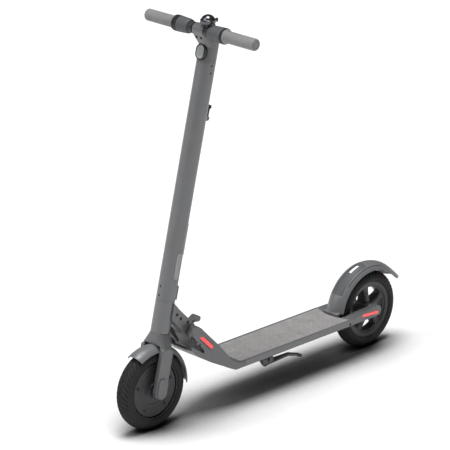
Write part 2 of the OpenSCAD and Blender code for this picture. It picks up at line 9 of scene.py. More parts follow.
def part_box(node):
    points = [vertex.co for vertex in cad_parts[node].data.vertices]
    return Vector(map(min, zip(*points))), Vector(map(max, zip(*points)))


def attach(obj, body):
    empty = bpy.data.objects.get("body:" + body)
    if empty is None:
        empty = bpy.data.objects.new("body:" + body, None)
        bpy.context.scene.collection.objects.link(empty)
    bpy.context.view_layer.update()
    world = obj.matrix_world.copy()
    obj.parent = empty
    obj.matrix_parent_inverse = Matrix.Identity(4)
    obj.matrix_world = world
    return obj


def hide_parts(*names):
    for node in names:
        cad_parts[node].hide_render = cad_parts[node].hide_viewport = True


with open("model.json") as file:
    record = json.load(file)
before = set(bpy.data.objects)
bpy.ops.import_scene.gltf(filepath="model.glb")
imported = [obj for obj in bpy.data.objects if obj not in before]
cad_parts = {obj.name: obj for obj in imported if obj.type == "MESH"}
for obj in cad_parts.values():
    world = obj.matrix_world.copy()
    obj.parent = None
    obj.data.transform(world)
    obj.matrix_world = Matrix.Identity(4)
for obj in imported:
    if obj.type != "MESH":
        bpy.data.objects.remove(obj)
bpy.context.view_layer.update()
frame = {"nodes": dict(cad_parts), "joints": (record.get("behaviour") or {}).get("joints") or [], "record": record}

MM = 0.001
nodes = frame["nodes"]
joints = {j["name"]: j for j in frame["joints"]}


# ---------------------------------------------------------------- camera

# Solved from the outlines of the wheels, stem, bar and deck
CAMERA_AT = Vector((5.2842, 5.2453, 3.1807))
CAMERA_RIGHT = Vector((-0.7146, 0.6995, 0.0))
CAMERA_BACK = Vector((0.6573, 0.6716, 0.3418))
CAMERA_LENS = 229.8


def add_camera():
    data = bpy.data.cameras.new("camera")
    data.lens = CAMERA_LENS
    data.sensor_width = 36.0
    data.clip_end = 60.0
    cam = bpy.data.objects.new("camera", data)
    bpy.context.scene.collection.objects.link(cam)
    right = CAMERA_RIGHT.normalized()
    back = CAMERA_BACK.normalized()
    up = back.cross(right).normalized()
    right = up.cross(back).normalized()
    cam.matrix_world = Matrix((
        (right.x, up.x, back.x, CAMERA_AT.x),
        (right.y, up.y, back.y, CAMERA_AT.y),
        (right.z, up.z, back.z, CAMERA_AT.z),
        (0, 0, 0, 1)))
    bpy.context.scene.camera = cam


add_camera()


# ---------------------------------------------------------------- materials

def link(tree, a, b):
    tree.links.new(a, b)


class Nodes:
    """Short names for the shader nodes that the materials share."""

    def __init__(self, name):
        self.mat = bpy.data.materials.new(name)
        self.mat.use_nodes = True
        self.tree = self.mat.node_tree
        self.bsdf = self.tree.nodes["Principled BSDF"]
        self.coord = self.tree.nodes.new("ShaderNodeTexCoord")

    def noise(self, scale, detail=4.0, rough=0.55, stretch=None):
        n = self.tree.nodes.new("ShaderNodeTexNoise")
        n.inputs["Scale"].default_value = scale
        n.inputs["Detail"].default_value = detail
        n.inputs["Roughness"].default_value = rough
        if stretch:
            m = self.tree.nodes.new("ShaderNodeMapping")
            m.inputs["Scale"].default_value = stretch
            link(self.tree, self.coord.outputs["Object"], m.inputs["Vector"])
            link(self.tree, m.outputs["Vector"], n.inputs["Vector"])
        else:
            link(self.tree, self.coord.outputs["Object"], n.inputs["Vector"])
        return n.outputs["Fac"]

    def voronoi(self, scale, feature="F1"):
        n = self.tree.nodes.new("ShaderNodeTexVoronoi")
        n.feature = feature
        n.inputs["Scale"].default_value = scale
        link(self.tree, self.coord.outputs["Object"], n.inputs["Vector"])
        return n.outputs["Distance"]

    def ramp(self, fac, a, b, lo=0.3, hi=0.7):
        n = self.tree.nodes.new("ShaderNodeValToRGB")
        n.color_ramp.elements[0].position = lo
        n.color_ramp.elements[1].position = hi
        n.color_ramp.elements[0].color = (*a, 1)
        n.color_ramp.elements[1].color = (*b, 1)
        link(self.tree, fac, n.inputs["Fac"])
        return n.outputs["Color"]

    def remap(self, fac, lo, hi, from_lo=0.3, from_hi=0.7):
        n = self.tree.nodes.new("ShaderNodeMapRange")
        n.inputs["From Min"].default_value = from_lo
        n.inputs["From Max"].default_value = from_hi
        n.inputs["To Min"].default_value = lo
        n.inputs["To Max"].default_value = hi
        link(self.tree, fac, n.inputs["Value"])
        return n.outputs["Result"]

    def mix(self, fac, a, b, mode="MIX"):
        n = self.tree.nodes.new("ShaderNodeMix")
        n.data_type = "RGBA"
        n.blend_type = mode
        for socket, value in ((n.inputs[0], fac), (n.inputs[6], a), (n.inputs[7], b)):
            if isinstance(value, (int, float)):
                socket.default_value = value
            elif isinstance(value, tuple):
                socket.default_value = (*value, 1)
            else:
                link(self.tree, value, socket)
        return n.outputs[2]

    def edge(self, lo=0.52, hi=0.6):
        n = self.tree.nodes.new("ShaderNodeNewGeometry")
        return self.remap(n.outputs["Pointiness"], 0.0, 1.0, lo, hi)

    def bump(self, heights):
        last = None
        for height, distance, strength in heights:
            n = self.tree.nodes.new("ShaderNodeBump")
            n.inputs["Distance"].default_value = distance
            n.inputs["Strength"].default_value = strength
            link(self.tree, height, n.inputs["Height"])
            if last:
                link(self.tree, last, n.inputs["Normal"])
            last = n.outputs["Normal"]
        link(self.tree, last, self.bsdf.inputs["Normal"])

    def put(self, color=None, rough=None, **constants):
        for name, value in (("Base Color", color), ("Roughness", rough)):
            if value is None:
                continue
            if isinstance(value, (int, float)):
                self.bsdf.inputs[name].default_value = value
            else:
                link(self.tree, value, self.bsdf.inputs[name])
        for name, value in constants.items():
            self.bsdf.inputs[name.replace("_", " ")].default_value = value
        return self.mat


def tone(c, k):
    return tuple(min(1.0, v * k) for v in c)


def painted(name, color, rough=0.42, wear=0.25, metallic=0.35, coat=0.12):
    """Powder-coated metal: fine orange peel, faint dust, paler edges."""
    n = Nodes(name)
    cloud = n.noise(9.0, 5.0)
    fine = n.noise(900.0, 2.0)
    base = n.ramp(cloud, tone(color, 0.93), tone(color, 1.07))
    base = n.mix(n.remap(fine, 0.0, 0.35), base, tone(color, 1.22))
    base = n.mix(n.remap(n.edge(), 0.0, wear, 0.0, 1.0), base, tone(color, 2.0))
    n.bump([(fine, 0.0004, 0.22), (n.noise(160.0, 3.0), 0.0006, 0.10)])
    return n.put(base, n.remap(cloud, rough - 0.05, rough + 0.07), Metallic=metallic,
                 Coat_Weight=coat, Coat_Roughness=0.35)


def plastic(name, color, rough=0.5, grain=700.0, depth=0.35, coat=0.0):
    """Moulded plastic with a fine spark-eroded grain."""
    n = Nodes(name)
    cloud = n.noise(14.0, 4.0)
    cells = n.voronoi(grain)
    base = n.ramp(cloud, tone(color, 0.9), tone(color, 1.1))
    base = n.mix(n.remap(n.edge(), 0.0, 0.25, 0.0, 1.0), base, tone(color, 1.9))
    n.bump([(cells, 0.0003, depth), (n.noise(220.0, 3.0), 0.0004, 0.1)])
    return n.put(base, n.remap(n.noise(60.0), rough - 0.07, rough + 0.07), Coat_Weight=coat)


def rubber(name, color, rough=0.75, dust=0.15):
    """Rubber with a dull bloom in random patches and fine mould texture."""
    n = Nodes(name)
    cloud = n.noise(22.0, 6.0, 0.6)
    fine = n.noise(1100.0, 2.0)
    base = n.ramp(cloud, tone(color, 0.85), tone(color, 1.15))
    base = n.mix(n.remap(n.noise(70.0, 5.0), 0.0, dust, 0.5, 0.75), base, tone(color, 2.2))
    base = n.mix(n.remap(n.edge(), 0.0, 0.3, 0.0, 1.0), base, tone(color, 1.8))
    n.bump([(fine, 0.0004, 0.35), (n.noise(300.0, 3.0), 0.0005, 0.12)])
    return n.put(base, n.remap(cloud, rough - 0.08, rough + 0.1), Specular_IOR_Level=0.35)


def metal(name, color, rough=0.3, stretch=(1.0, 1.0, 1.0), wear=0.2):
    """Bare metal with fine turning or brushing marks and smudges."""
    n = Nodes(name)
    lines = n.noise(400.0, 3.0, 0.6, stretch)
    smudge = n.noise(30.0, 5.0)
    base = n.ramp(smudge, tone(color, 0.88), tone(color, 1.06))
    base = n.mix(n.remap(lines, 0.0, wear), base, tone(color, 0.75))
    n.bump([(lines, 0.0002, 0.15)])
    return n.put(base, n.remap(smudge, rough - 0.07, rough + 0.12), Metallic=1.0)


GREY = (0.150, 0.152, 0.156)
MAT = {
    "body_grey": painted("body_grey", GREY),
    "deck_grey": painted("deck_grey", tone(GREY, 0.95)),
    "mat_rubber": rubber("mat_rubber", (0.245, 0.238, 0.236), 0.8, 0.25),
    "black_plastic": plastic("black_plastic", (0.022, 0.022, 0.024), 0.45),
    "grey_plastic": plastic("grey_plastic", (0.155, 0.158, 0.163), 0.42, 900.0, 0.2, 0.1),
    "panel_plastic": plastic("panel_plastic", (0.085, 0.088, 0.092), 0.6, 500.0, 0.5),
    "steel": metal("steel", (0.55, 0.55, 0.56), 0.32),
    "black_steel": painted("black_steel", (0.018, 0.018, 0.019), 0.4, 0.15, 0.5),
    "tyre_rubber": rubber("tyre_rubber", (0.020, 0.020, 0.021), 0.72, 0.22),
    "rim_grey": painted("rim_grey", (0.043, 0.044, 0.047), 0.45, 0.3, 0.4),
    "grip_rubber": rubber("grip_rubber", (0.235, 0.230, 0.230), 0.78, 0.1),
    "chrome": metal("chrome", (0.13, 0.13, 0.14), 0.20, (1.0, 1.0, 5.0), 0.1),
    "silver_cover": rubber("silver_cover", (0.30, 0.30, 0.31), 0.6, 0.1),
    "copper": metal("copper", (0.62, 0.33, 0.18), 0.35),
    "battery": plastic("battery", (0.07, 0.17, 0.36), 0.35, 300.0, 0.1),
    "pad_rubber": rubber("pad_rubber", (0.03, 0.03, 0.03), 0.85),
    "stand_metal": painted("stand_metal", (0.075, 0.076, 0.08), 0.45),
    "alu": metal("alu", (0.6, 0.6, 0.61), 0.4, (1.0, 6.0, 1.0)),
}


def reflector_material():
    """Red moulded reflector: prism cells under a clear skin, with a painted glow: a faint red emission stands in
    for the light it returns.
    """
    n = Nodes("reflector_red")
    cells = n.voronoi(420.0)
    base = n.ramp(cells, (0.95, 0.075, 0.075), (0.80, 0.035, 0.035), 0.1, 0.8)
    n.bump([(cells, 0.0006, 0.4)])
    # Painted glow: the reflector emits faint red light, though it is no lamp.
    painted_glow_tint = n.mix(n.remap(n.noise(40.0), 0.0, 0.35), (1.0, 0.10, 0.10), (1.0, 0.16, 0.14))
    link(n.tree, painted_glow_tint, n.bsdf.inputs["Emission Color"])
    return n.put(base, n.remap(n.noise(80.0), 0.12, 0.25), Emission_Strength=0.42, Coat_Weight=0.5)


def lens_material():
    """Frosted lamp lens with fine vertical flutes."""
    n = Nodes("lamp_lens")
    flutes = n.noise(260.0, 1.0, 0.4, (0.4, 6.0, 0.4))
    base = n.ramp(flutes, (0.30, 0.31, 0.32), (0.46, 0.47, 0.48))
    n.bump([(flutes, 0.0006, 0.3)])
    return n.put(base, n.remap(n.noise(50.0), 0.12, 0.25), Transmission_Weight=0.15, Coat_Weight=0.6,
                 Coat_Roughness=0.08, IOR=1.49)


def glass_material():
    """Dark glossy display window with faint wipe marks."""
    n = Nodes("display_glass")
    base = n.ramp(n.noise(30.0), (0.008, 0.008, 0.010), (0.014, 0.014, 0.017))
    n.bump([(n.noise(90.0), 0.0001, 0.1)])
    return n.put(base, n.remap(n.noise(120.0, 6.0), 0.06, 0.16), Coat_Weight=1.0, Coat_Roughness=0.05)


MAT["reflector_red"] = reflector_material()
MAT["lamp_lens"] = lens_material()
MAT["display_glass"] = glass_material()

slot_of = {s["node"]: s["material_slot"] for s in frame["record"]["subparts"]}
for node_name, obj in nodes.items():
    obj.data.materials.clear()
    obj.data.materials.append(MAT[slot_of[node_name]])


# ---------------------------------------------------------------- mesh helpers

def piece(name, verts, faces, body, slot, replaced=(), smooth=True, sharp=35.0):
    mesh = bpy.data.meshes.new(name)
    mesh.from_pydata([tuple(v) for v in verts], [], faces)
    bm = bmesh.new()
    bm.from_mesh(mesh)
    bmesh.ops.recalc_face_normals(bm, faces=bm.faces)
    bm.to_mesh(mesh)
    bm.free()
    obj = bpy.data.objects.new(name, mesh)
    bpy.context.scene.collection.objects.link(obj)
    mesh.materials.append(MAT[slot])
    if smooth:
        for p in mesh.polygons:
            p.use_smooth = True
        mesh.set_sharp_from_angle(angle=math.radians(sharp))
    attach(obj, body)
    if replaced:
        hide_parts(*replaced)
    return obj


class Build:
    """Collects closed shells into one mesh."""

    def __init__(self):
        self.verts = []
        self.faces = []

    def add(self, verts, faces, matrix=None):
        base = len(self.verts)
        self.verts += [matrix @ Vector(v) if matrix else Vector(v) for v in verts]
        self.faces += [[i + base for i in f] for f in faces]

    def loft(self, rings, matrix=None, closed=False):
        """Closed rings of equal length, capped at both ends unless the rings meet again."""
        n = len(rings[0])
        m = len(rings)
        faces = []
        for j in range(m if closed else m - 1):
            k = (j + 1) % m
            for i in range(n):
                faces.append([j * n + i, j * n + (i + 1) % n, k * n + (i + 1) % n, k * n + i])
        if not closed:
            faces.append(list(range(n))[::-1])
            faces.append([(m - 1) * n + i for i in range(n)])
        self.add([v for r in rings for v in r], faces, matrix)

    def lathe(self, profile, matrix, segs=96, closed=False):
        """Points (radius, along) turned about local Z. A radius of 0 makes a pole."""
        verts = []
        rows = []
        for r, z in profile:
            if r < 1e-7:
                rows.append([len(verts)] * segs)
                verts.append((0, 0, z))
            else:
                rows.append(list(range(len(verts), len(verts) + segs)))
                for s in range(segs):
                    a = 2 * math.pi * s / segs
                    verts.append((r * math.cos(a), r * math.sin(a), z))
        faces = []
        last = len(rows) if closed else len(rows) - 1
        for j in range(last):
            a, b = rows[j], rows[(j + 1) % len(rows)]
            for s in range(segs):
                t = (s + 1) % segs
                face = []
                for i in (a[s], a[t], b[t], b[s]):
                    if i not in face:
                        face.append(i)
                if len(face) > 2:
                    faces.append(face)
        self.add(verts, faces, matrix)

    def done(self, *args, **kwargs):
        return piece(args[0], self.verts, self.faces, *args[1:], **kwargs)


def fillet(points, radius, steps=4):
    """Rounds the corners of an open profile of (x, y) points."""
    out = [points[0]]
    for a, b, c in zip(points, points[1:], points[2:]):
        pa, pb, pc = Vector(a), Vector(b), Vector(c)
        u, w = pa - pb, pc - pb
        d = min(radius, u.length * 0.45, w.length * 0.45)
        if d < 1e-6:
            out.append(b)
            continue
        p0, p2 = pb + u.normalized() * d, pb + w.normalized() * d
        for k in range(steps + 1):
            t = k / steps
            q = p0.lerp(pb, t).lerp(pb.lerp(p2, t), t)
            out.append((q.x, q.y))
    out.append(points[-1])
    return out


def frame_at(origin, z_dir, x_dir):
    """A matrix with its origin, Z direction and rough X direction given."""
    z = Vector(z_dir).normalized()
    x = Vector(x_dir)
    x = (x - z * x.dot(z)).normalized()
    y = z.cross(x)
    return Matrix(((x.x, y.x, z.x, origin[0]), (x.y, y.y, z.y, origin[1]), (x.z, y.z, z.z, origin[2]),
                   (0, 0, 0, 1)))


def stadium(length, width, radius, steps=8):
    """Rounded rectangle in XY, counter-clockwise, corners of the given radius."""
    pts = []
    for cx, cy, a0 in ((1, 1, 0), (-1, 1, 90), (-1, -1, 180), (1, -1, 270)):
        for k in range(steps + 1):
            a = math.radians(a0 + 90 * k / steps)
            pts.append((cx * (length / 2 - radius) + radius * math.cos(a),
                        cy * (width / 2 - radius) + radius * math.sin(a)))
    return pts


def pill(build, matrix, length, width, radius, z0, z1, edge, steps=8):
    """A rounded slab from z0 to z1 with a rounded upper edge."""
    rings = [[(x, y, z0) for x, y in stadium(length, width, radius, steps)]]
    for k in range(4):
        a = math.radians(30 * k)
        inset = edge * (1 - math.cos(a))
        rings.append([(x, y, z1 - edge + edge * math.sin(a)) for x, y in
                      stadium(length - 2 * inset, width - 2 * inset, max(radius - inset, 1e-5), steps)])
    build.loft(rings, matrix)


def bolt(build, matrix, radius, height, socket=0.55):
    """A cap screw's head with a rounded rim and a round socket, sitting on local z = 0."""
    prof = [(0, 0), (radius, 0), (radius, height * 0.75), (radius * 0.9, height), (radius * socket, height)]
    build.lathe(prof + [(radius * socket * 0.9, height * 0.35), (0, height * 0.35)], matrix, segs=24)


# The steering axis, as the record's joint states it
steer = joints["steering_turn"]
S_POS = Vector(steer["pos_m"])
S_UP = Vector(steer["axis"]).normalized()
S_FWD = Vector((S_UP.z, 0, -S_UP.x))
LEFT = Vector((0, 1, 0))


def on_steer(h, f=0.0, y=0.0):
    """A point h above the front axle along the steering axis, f forwards and y to the left, in mm."""
    return S_POS + S_UP * h * MM + S_FWD * f * MM + LEFT * y * MM


# Heights above the front axle along the steering axis and distances in front of it, in mm
BAR_H, BAR_F = 985.3, 39.4
LAMP_H, LAMP_F = 926, 16
DISPLAY_H, DISPLAY_F = 997, 14
ARM_BOLTS = ((-26, 212), (-43, 200.5), (-72, 190))
SIDE_SCREWS_H = (893, 873)
FRONT_SCREWS_H = (286, 261)
CLAMP_BOLTS_H = 964

FRONT = Vector(joints["front_wheel_spin"]["pos_m"])
REAR = Vector(joints["rear_wheel_spin"]["pos_m"])


def soften(name, voxel, passes, factor=0.5):
    """Rounds a cast or moulded CAD node's edges with modifiers."""
    obj = nodes[name]
    weld = obj.modifiers.new("weld", "WELD")
    weld.merge_threshold = 1e-5
    remesh = obj.modifiers.new("remesh", "REMESH")
    remesh.mode = "VOXEL"
    remesh.voxel_size = voxel * MM
    remesh.use_smooth_shade = True
    smooth = obj.modifiers.new("smooth", "SMOOTH")
    smooth.factor = factor
    smooth.iterations = passes


for node_name, voxel, passes in (
        ("neck", 1.3, 5), ("fork", 1.2, 6), ("stem_head", 1.1, 5), ("fold_arm", 1.2, 4),
        ("fold_pedal", 0.9, 5), ("axle_caps", 0.8, 4), ("kickstand_leg", 0.8, 4),
        ("kickstand_bracket", 0.9, 3), ("rear_arm_left", 1.2, 4), ("rear_arm_right", 1.2, 4),
        ("rear_fender", 0.9, 3), ("front_fender", 0.8, 3), ("stem_plates", 0.8, 3),
        ("stem_hook", 0.5, 3), ("throttle_paddle", 0.6, 4), ("brake_paddle", 0.6, 4),
        ("brake_pad", 1.0, 3), ("cable_guard", 0.8, 4), ("bell_lever", 0.5, 3)):
    soften(node_name, voxel, passes)


# ---------------------------------------------------------------- tyres

TREAD_TURNS = 504
TREAD_ARC = 58
TREAD_BLOCKS = 24
TREAD_DEPTH = 0.0024


def tyre(name, centre, node, body):
    """Solid tyre with a cut tread: a zigzag pair round the crown and slanted cuts over the shoulders."""
    low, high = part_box(node)
    outer = (high.x - low.x) / 2
    half = (high.y - low.y) / 2
    mid = outer - half
    section = []
    side = [(0.0800, 0.0128), (0.0812, 0.0195), (0.0836, 0.0212), (0.0846, 0.0235)]
    start = math.radians(80)
    for k in range(TREAD_ARC + 1):
        a = start - 2 * start * k / TREAD_ARC
        section.append((mid + half * math.cos(a), half * math.sin(a)))
    profile = side + section + [(r, -y) for r, y in reversed(side)]
    rings = []
    for t in range(TREAD_TURNS):
        turn = 2 * math.pi * t / TREAD_TURNS
        ring = []
        for r, y in profile:
            if r > mid * 0.98:
                across = y / half
                depth = 0.0
                wave = 0.20 + 0.055 * math.asin(math.sin(turn * TREAD_BLOCKS)) / (math.pi / 2)
                for line in (wave, -wave, 0.0):
                    width = 0.062 if line else 0.045
                    depth = max(depth, 1 - abs(across - line) / width)
                offset = 0.5 if across > 0 else 0
                slant = (turn * TREAD_BLOCKS / (2 * math.pi) * 2 + abs(across) * 2.2 + offset) % 1
                if 0.33 < abs(across) < 0.80 and 0.5 - abs(slant - 0.5) < 0.13:
                    depth = max(depth, 1.0)
                depth = min(1.0, max(0.0, depth) * 1.6)
                r = r - depth * TREAD_DEPTH
                y = y * (1 - depth * 0.02)
            else:
                rib = math.sin((r - 0.0846) / 0.0012 * math.pi) if 0.0848 < r < 0.0872 else 0
                y = y * (1 + 0.004 * rib)
            ring.append((centre.x + r * math.cos(turn), centre.y + y, centre.z + r * math.sin(turn)))
        rings.append(ring)
    b = Build()
    b.loft(rings, closed=True)
    b.done(name, body, "tyre_rubber", replaced=(node,), sharp=50.0)


tyre("front_tread", FRONT, "front_tyre", "front_wheel")
tyre("rear_tread", REAR, "rear_tyre", "rear_wheel")


# ---------------------------------------------------------------- wheels

def wheel_axis(centre, side=1):
    """Local Z along the axle, outwards on the given side."""
    return frame_at(centre, (0, side, 0), (0, 0, 1))


def rim_profile():
    """Half of the rim ring's section, as radius by distance from the middle plane."""
    return [(0.0650, 0.0), (0.0650, 0.0122), (0.0668, 0.0136), (0.0702, 0.0140), (0.0708, 0.0172),
            (0.0745, 0.0182), (0.0790, 0.0190), (0.0812, 0.0200), (0.0836, 0.0200), (0.0840, 0.0190),
            (0.0836, 0.0140),
            (0.0760, 0.0130), (0.0760, 0.0)]


def motor_hub():
    b = Build()
    half = fillet([(0.0, 0.0195), (0.0125, 0.0195), (0.0125, 0.0222), (0.0215, 0.0222), (0.0228, 0.0182),
                   (0.0385, 0.0180), (0.0392, 0.0186), (0.0412, 0.0186), (0.0420, 0.0178), (0.0505, 0.0178),
                   (0.0512, 0.0183), (0.0528, 0.0183), (0.0536, 0.0177), (0.0750, 0.0176), (0.0764, 0.0168),
                   (0.0768, 0.0120), (0.0792, 0.0120), (0.0798, 0.0190), (0.0808, 0.0200), (0.0834, 0.0200),
                   (0.0840, 0.0190), (0.0834, 0.0136), (0.0796, 0.0110), (0.0762, 0.0105), (0.0762, 0.0)],
                  0.0008, 3)
    full = half + [(r, -y) for r, y in reversed(half)]
    b.lathe(full, wheel_axis(FRONT), 128)
    for side in (1, -1):
        for k in range(5):
            a = math.radians(72 * k + 18)
            at = FRONT + Vector((0.062 * math.cos(a), side * 0.0172, 0.062 * math.sin(a)))
            seat = [(0.0052, -0.001), (0.0066, -0.001), (0.0066, 0.0012), (0.0052, 0.0012)]
            b.lathe(seat, frame_at(at, (0, side, 0), (0, 0, 1)), 24, closed=True)
            bolt(b, frame_at(at, (0, side, 0), (0, 0, 1)), 0.0046, 0.0030)
    return b.done("hub_motor", "front_wheel", "rim_grey", replaced=("motor_shell",))


def spoke_ring(t, width, thick, steps=6):
    """One rounded-rectangle ring across a spoke at distance t from the axle."""
    return [(x, y, t) for x, y in stadium(width, thick, min(width, thick) * 0.28, steps)]


def spoked_rim():
    b = Build()
    half = fillet(rim_profile(), 0.0009, 3)
    ring = half + [(r, -y) for r, y in reversed(half[1:-1])]
    b.lathe(ring, wheel_axis(REAR), 128, closed=True)
    hub = fillet([(0.0102, 0.0), (0.0102, 0.0140), (0.0140, 0.0150), (0.0140, 0.0215), (0.0165, 0.0222),
                  (0.0210, 0.0215), (0.0222, 0.0190), (0.0232, 0.0120), (0.0232, 0.0)], 0.0009, 3)
    b.lathe(hub + [(r, -y) for r, y in reversed(hub[1:-1])], wheel_axis(REAR), 96, closed=True)
    for k in range(5):
        a = math.radians(-60 - 72 * k)
        out = Vector((math.cos(a), 0, math.sin(a)))
        m = frame_at(REAR, out, (-math.sin(a), 0, math.cos(a)))
        rows = [(0.0215, 0.0250, 0.034), (0.027, 0.0225, 0.0335), (0.036, 0.0200, 0.032),
                (0.048, 0.0200, 0.030),
                (0.056, 0.0225, 0.028), (0.062, 0.0270, 0.0265), (0.0662, 0.0330, 0.0255)]
        b.loft([spoke_ring(*row) for row in rows], m)
        for side in (1, -1):
            turned = Matrix.Rotation(-side * math.pi / 2, 4, "X")
            face = m @ Matrix.Translation((0, side * 0.0149, 0.041)) @ turned
            pill(b, face, 0.0090, 0.020, 0.004, 0, 0.0014, 0.0006, 5)
    return b.done("spoked_rim", "rear_wheel", "rim_grey", replaced=("rear_rim",))


motor_hub()
spoked_rim()


# ---------------------------------------------------------------- deck mat

def deck_mat():
    """Mat with a rounded outline, cut round the fender, with a herringbone of small raised bars."""
    low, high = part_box("deck_mat")
    x0, x1, y1 = low.x, high.x, high.y
    corner = 0.008
    arc_r = 0.143  # clearance round the rear fender
    outline = []
    for k in range(9):
        a = math.radians(90 - 90 * k / 8)
        outline.append((x1 - corner + corner * math.cos(a), y1 - corner + corner * math.sin(a)))
    for k in range(9):
        a = math.radians(-90 * k / 8)
        outline.append((x1 - corner + corner * math.cos(a), -y1 + corner + corner * math.sin(a)))
    tail = max(x0, REAR.x + math.sqrt(max(arc_r ** 2 - y1 ** 2, 0)))
    outline.append((tail + 0.001, -y1))
    for k in range(1, 24):
        y = -y1 + 2 * y1 * k / 24
        outline.append((max(x0, REAR.x + math.sqrt(max(arc_r ** 2 - y ** 2, 0))), y))
    outline.append((tail + 0.001, y1))
    top = high.z - 0.0005
    centre = Vector(((x0 + x1) / 2, 0))

    def grown(d, z):
        return [(p[0] - math.copysign(min(abs(p[0] - centre.x), d), p[0] - centre.x),
                 p[1] - math.copysign(min(abs(p[1]), d), p[1]), z) for p in outline]

    b = Build()
    b.loft([grown(0, low.z), grown(0, top - 0.0004), grown(0.0005, top)])
    pitch = 0.0098
    bar_size = (0.0046, 0.0019, 0.0005)  # half length, half width, height
    cols = int((x1 - x0) / pitch)
    rows = int(2 * y1 / pitch)
    for i in range(cols + 1):
        for j in range(rows + 1):
            x = x0 + pitch * (i + 0.5)
            y = -y1 + pitch * (j + 0.5)
            edge = 0.0062
            back = REAR.x + math.sqrt(max(arc_r ** 2 - y ** 2, 0)) + edge
            if x > x1 - edge or abs(y) > y1 - edge or x < max(x0 + edge, back):
                continue
            turn = math.radians(45 if (i + j) % 2 else -45)
            m = Matrix.Translation((x, y, top)) @ Matrix.Rotation(turn, 4, "Z")
            hl, hw, hz = bar_size
            verts = [(-hl, -hw, -0.0002), (hl, -hw, -0.0002), (hl, hw, -0.0002), (-hl, hw, -0.0002),
                     (-hl + 0.0005, -hw + 0.0004, hz), (hl - 0.0005, -hw + 0.0004, hz),
                     (hl - 0.0005, hw - 0.0004, hz), (-hl + 0.0005, hw - 0.0004, hz)]
            faces = [[0, 1, 5, 4], [1, 2, 6, 5], [2, 3, 7, 6], [3, 0, 4, 7], [4, 5, 6, 7], [3, 2, 1, 0]]
            b.add(verts, faces, m)
    return b.done("mat_tread", "deck", "mat_rubber", replaced=("deck_mat",), sharp=30.0)


deck_mat()


# ---------------------------------------------------------------- handlebar

BAR = on_steer(BAR_H, BAR_F)


def along_bar(side):
    return frame_at(BAR, (0, side, 0), S_UP)


def grip(name, node, side):
    """Rubber grip: flange, shallow rings, a fine raised pattern and a rounded end with a plug."""
    low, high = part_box(node)
    end = max(abs(low.y), abs(high.y))
    prof = [(0.0112, 0.0953), (0.0196, 0.0953), (0.0200, 0.0965), (0.0196, 0.0985), (0.0182, 0.1010),
            (0.0168, 0.1050)]
    y = 0.1050
    stop = end - 0.0125
    count = 46
    for k in range(count):
        a = y + (stop - y) * k / count
        step = (stop - y) / count
        prof += [(0.01650, a + 0.15 * step), (0.01618, a + 0.30 * step), (0.01618, a + 0.45 * step),
                 (0.01650, a + 0.60 * step)]
    prof += [(0.01655, stop + 0.0010), (0.01600, stop + 0.0018), (0.01600, stop + 0.0030),
             (0.01655, stop + 0.0040)]
    for k in range(9):
        a = math.radians(90 * k / 8)
        prof.append((0.0110 + 0.0055 * math.cos(a), end - 0.0062 + 0.0055 * math.sin(a)))
    prof += [(0.0092, end - 0.0008), (0.0086, end - 0.0014), (0.0080, end - 0.0006), (0.0, end - 0.0003)]
    b = Build()
    b.lathe(prof, along_bar(side), 72)
    return b.done(name, "steering", "grip_rubber", replaced=(node,), sharp=60.0)


def housing(name, node, side):
    """Lever housing: black band next to the stem, grey collar, dark ribbed ring and its end ring."""
    m = along_bar(side)
    wide = side < 0
    band = Build()
    band.lathe([(0.0112, 0.0235), (0.0150, 0.0235), (0.0158, 0.0245), (0.0160, 0.0372), (0.0152, 0.0378),
                (0.0112, 0.0378)], m, 96)
    ring_y = 0.0780 if wide else 0.0885
    prof = [(0.0112, ring_y), (0.0208, ring_y), (0.0217, ring_y + 0.0006)]
    ribs = int((0.0925 - ring_y) / 0.0022)
    for k in range(ribs):
        a = ring_y + 0.0008 + 0.0022 * k
        prof += [(0.0220, a), (0.0220, a + 0.0010), (0.0213, a + 0.0013), (0.0213, a + 0.0018)]
    prof += [(0.0220, 0.0930), (0.0213, 0.0942), (0.0204, 0.0948), (0.0112, 0.0948)]
    band.lathe(prof, m, 96)
    band.done(name + "_ring", "steering", "black_plastic", replaced=(node,), sharp=32.0)
    b = Build()
    prof = fillet([(0.0112, 0.0382), (0.0172, 0.0382), (0.0196, 0.0420), (0.0204, 0.0470), (0.0212, 0.0640),
                   (0.0219, ring_y - 0.0030), (0.0214, ring_y - 0.0008), (0.0112, ring_y - 0.0008)],
                  0.0008, 3)
    b.lathe(prof, m, 96)
    for a in (150, 210):
        at = Matrix.Rotation(math.radians(a), 4, "Z") @ Matrix.Translation((0.0205, 0, 0.052))
        bolt(b, m @ at @ Matrix.Rotation(math.pi / 2, 4, "Y"), 0.0026, 0.0011)
    return b.done(name, "steering", "panel_plastic", sharp=32.0)


grip("grip_skin_left", "grip_left", 1)
grip("grip_skin_right", "grip_right", -1)
housing("brake_collar", "brake_housing", 1)
housing("throttle_collar", "throttle_housing", -1)


# ---------------------------------------------------------------- bell

def bell():
    low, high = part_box("bell_base")
    cx, cy = (low.x + high.x) / 2, (low.y + high.y) / 2
    top = high.z
    m = Matrix.Translation((cx, cy, 0))
    b = Build()
    b.lathe([(0, top - 0.0345), (0.0078, top - 0.0345), (0.0078, top - 0.0235), (0.0160, top - 0.0232),
             (0.0165, top - 0.0222), (0, top - 0.0222)], m, 48)
    b.done("bell_post", "steering", "black_plastic")
    d = Build()
    prof = [(0, top - 0.0180), (0.0190, top - 0.0180), (0.0190, top - 0.0222), (0.0202, top - 0.0226),
            (0.0209, top - 0.0216), (0.0210, top - 0.0150), (0.0206, top - 0.0136), (0.0192, top - 0.0130)]
    for k in range(1, 17):
        a = math.radians(15 + 75 * k / 17)
        prof.append((0.0194 * math.cos(a), top - 0.0180 + 0.0175 * math.sin(a)))
    prof += [(0.0042, top - 0.0012), (0.0038, top - 0.0004), (0.0020, top), (0, top)]
    d.lathe(prof, m, 96)
    d.done("bell_dome", "steering", "chrome", replaced=("bell_base",), sharp=50.0)


bell()


